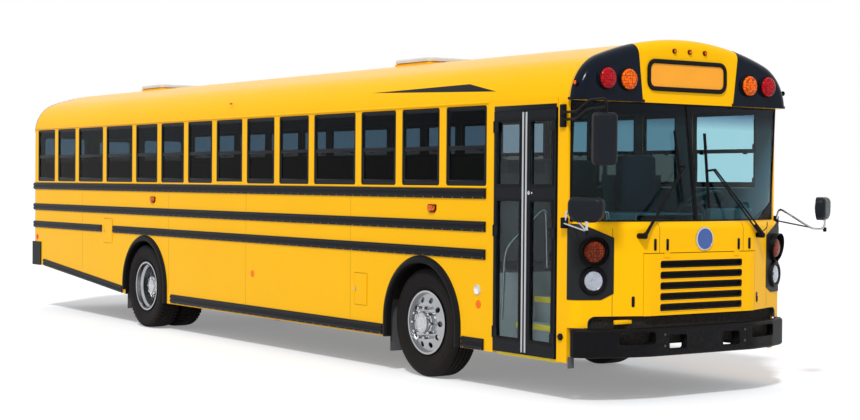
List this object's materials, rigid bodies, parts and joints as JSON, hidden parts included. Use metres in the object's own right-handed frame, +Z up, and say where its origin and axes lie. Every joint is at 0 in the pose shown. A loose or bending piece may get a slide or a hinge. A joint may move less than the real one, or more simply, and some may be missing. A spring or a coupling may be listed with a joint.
{
  "type": "school bus",
  "caption": "Flat-front school bus with an entry door ahead of the front axle, opening leaves, rear door, hatches, stop arm, steered front and twin rear wheels.",
  "frame": {"origin": "on the ground under the middle of the whole bus", "axes": "+Z up, the bus faces -Y, its entry door is on the -X side"},
  "size_m": [3.006, 12.4001, 3.09],
  "materials": {
    "paint_yellow": "gloss",
    "paint_black": "satin",
    "frame_black": "matte",
    "trim_rubber": "matte",
    "glass_tint": "clear tinted",
    "wheel_alloy": "polished",
    "tyre_black": "matte",
    "steel_dark": "dull",
    "exhaust_steel": "dull",
    "seat_vinyl": "satin",
    "cabin_plastic": "matte",
    "floor_rubber": "matte",
    "lens": "glossy",
    "sign_red": "satin"
  },
  "bodies": {
    "bus": {"side_panel_right": "paint_yellow", "side_panel_left": "paint_yellow", "window_posts": "paint_yellow", "roof": "paint_yellow", "rear_wall": "paint_yellow", "front_header": "paint_yellow", "front_cowl": "paint_yellow", "front_pillars": "paint_yellow", "windshield": "glass_tint", "windshield_frame": "trim_rubber", "body_windows": "glass_tint", "rub_rails": "paint_black", "arch_flares": "trim_rubber", "wheelhouses": "frame_black", "mud_flaps": "trim_rubber", "floor": "floor_rubber", "stepwell": "floor_rubber", "chassis_frame": "frame_black", "engine_block": "steel_dark", "radiator": "steel_dark", "engine_cover": "cabin_plastic", "tanks": "frame_black", "exhaust": "exhaust_steel", "front_axle": "steel_dark", "rear_axle": "steel_dark", "seat_cushions": "seat_vinyl", "seat_frames": "frame_black", "driver_seat": "seat_vinyl", "dashboard": "cabin_plastic", "barriers": "cabin_plastic", "front_bumper": "paint_black", "rear_bumper": "paint_black", "front_lamps": "lens", "rear_lamps": "lens", "mirrors": "paint_black", "stop_arm_bracket": "paint_black"},
    "knuckle_right": {"steering_knuckle_right": "steel_dark"},
    "knuckle_left": {"steering_knuckle_left": "steel_dark"},
    "front_wheel_right": {"front_rim_right": "wheel_alloy", "front_tyre_right": "tyre_black"},
    "front_wheel_left": {"front_rim_left": "wheel_alloy", "front_tyre_left": "tyre_black"},
    "rear_wheels_right": {"rear_rims_right": "wheel_alloy", "rear_tyres_right": "tyre_black"},
    "rear_wheels_left": {"rear_rims_left": "wheel_alloy", "rear_tyres_left": "tyre_black"},
    "door_leaf_front": {"entry_door_front": "paint_black", "entry_glass_front": "glass_tint"},
    "door_leaf_rear": {"entry_door_rear": "paint_black", "entry_glass_rear": "glass_tint"},
    "emergency_door": {"rear_door": "paint_yellow", "rear_door_glass": "glass_tint"},
    "grille_flap": {"grille_panel": "paint_yellow"},
    "hatch_front": {"roof_hatch_front": "cabin_plastic"},
    "hatch_rear": {"roof_hatch_rear": "cabin_plastic"},
    "stop_sign": {"stop_arm": "sign_red"},
    "fuel_flap": {"fuel_door": "paint_yellow"},
    "fluid_flap": {"fluid_door": "paint_yellow"},
    "steering_hand_wheel": {"steering_wheel": "cabin_plastic"}
  },
  "joints": [
    {"name": "steer_right", "type": "hinge", "parent": "bus", "child": "knuckle_right", "pos_m": [-0.93, -3.452, 0.508], "axis": [0, 0, 1], "range_deg": [-40, 40]},
    {"name": "steer_left", "type": "hinge", "parent": "bus", "child": "knuckle_left", "pos_m": [0.93, -3.452, 0.508], "axis": [0, 0, 1], "range_deg": [-40, 40]},
    {"name": "front_wheel_right_spin", "type": "hinge", "parent": "knuckle_right", "child": "front_wheel_right", "pos_m": [-1.042, -3.452, 0.508], "axis": [1, 0, 0], "continuous": true},
    {"name": "front_wheel_left_spin", "type": "hinge", "parent": "knuckle_left", "child": "front_wheel_left", "pos_m": [1.042, -3.452, 0.508], "axis": [1, 0, 0], "continuous": true},
    {"name": "rear_wheels_right_spin", "type": "hinge", "parent": "bus", "child": "rear_wheels_right", "pos_m": [-0.918, 2.506, 0.508], "axis": [1, 0, 0], "continuous": true},
    {"name": "rear_wheels_left_spin", "type": "hinge", "parent": "bus", "child": "rear_wheels_left", "pos_m": [0.918, 2.506, 0.508], "axis": [1, 0, 0], "continuous": true},
    {"name": "entry_leaf_front_swing", "type": "hinge", "parent": "bus", "child": "door_leaf_front", "pos_m": [-1.232, -5.399, 1.393], "axis": [0, 0, 1], "range_deg": [0, 90]},
    {"name": "entry_leaf_rear_swing", "type": "hinge", "parent": "bus", "child": "door_leaf_rear", "pos_m": [-1.232, -4.565, 1.393], "axis": [0, 0, -1], "range_deg": [0, 90]},
    {"name": "emergency_door_swing", "type": "hinge", "parent": "bus", "child": "emergency_door", "pos_m": [-0.324, 6.141, 1.74], "axis": [0, 0, 1], "range_deg": [0, 110]},
    {"name": "grille_flap_swing", "type": "hinge", "parent": "bus", "child": "grille_flap", "pos_m": [0, -5.881, 1.238], "axis": [-1, 0, 0], "range_deg": [0, 80]},
    {"name": "hatch_front_swing", "type": "hinge", "parent": "bus", "child": "hatch_front", "pos_m": [0, -2.305, 3.055], "axis": [1, 0, 0], "range_deg": [0, 60]},
    {"name": "hatch_rear_swing", "type": "hinge", "parent": "bus", "child": "hatch_rear", "pos_m": [0, 3.885, 3.055], "axis": [1, 0, 0], "range_deg": [0, 60]},
    {"name": "stop_sign_swing", "type": "hinge", "parent": "bus", "child": "stop_sign", "pos_m": [1.267, -3.735, 1.56], "axis": [0, 0, -1], "range_deg": [0, 90]},
    {"name": "fuel_flap_swing", "type": "hinge", "parent": "bus", "child": "fuel_flap", "pos_m": [-1.224, 3.474, 1.158], "axis": [0, 0, 1], "range_deg": [0, 100]},
    {"name": "fluid_flap_swing", "type": "hinge", "parent": "bus", "child": "fluid_flap", "pos_m": [-1.224, -2.526, 0.763], "axis": [0, 0, 1], "range_deg": [0, 100]},
    {"name": "steering_wheel_turn", "type": "hinge", "parent": "bus", "child": "steering_hand_wheel", "pos_m": [0.76, -5.075, 1.62], "axis": [0, 0.5736, 0.8192], "range_deg": [-541, 541]}
  ],
  "couplings": [
    {"joint": "steer_left", "follows": "steer_right", "ratio": 1},
    {"joint": "steering_wheel_turn", "follows": "steer_right", "ratio": 13.5},
    {"joint": "entry_leaf_rear_swing", "follows": "entry_leaf_front_swing", "ratio": 1}
  ]
}
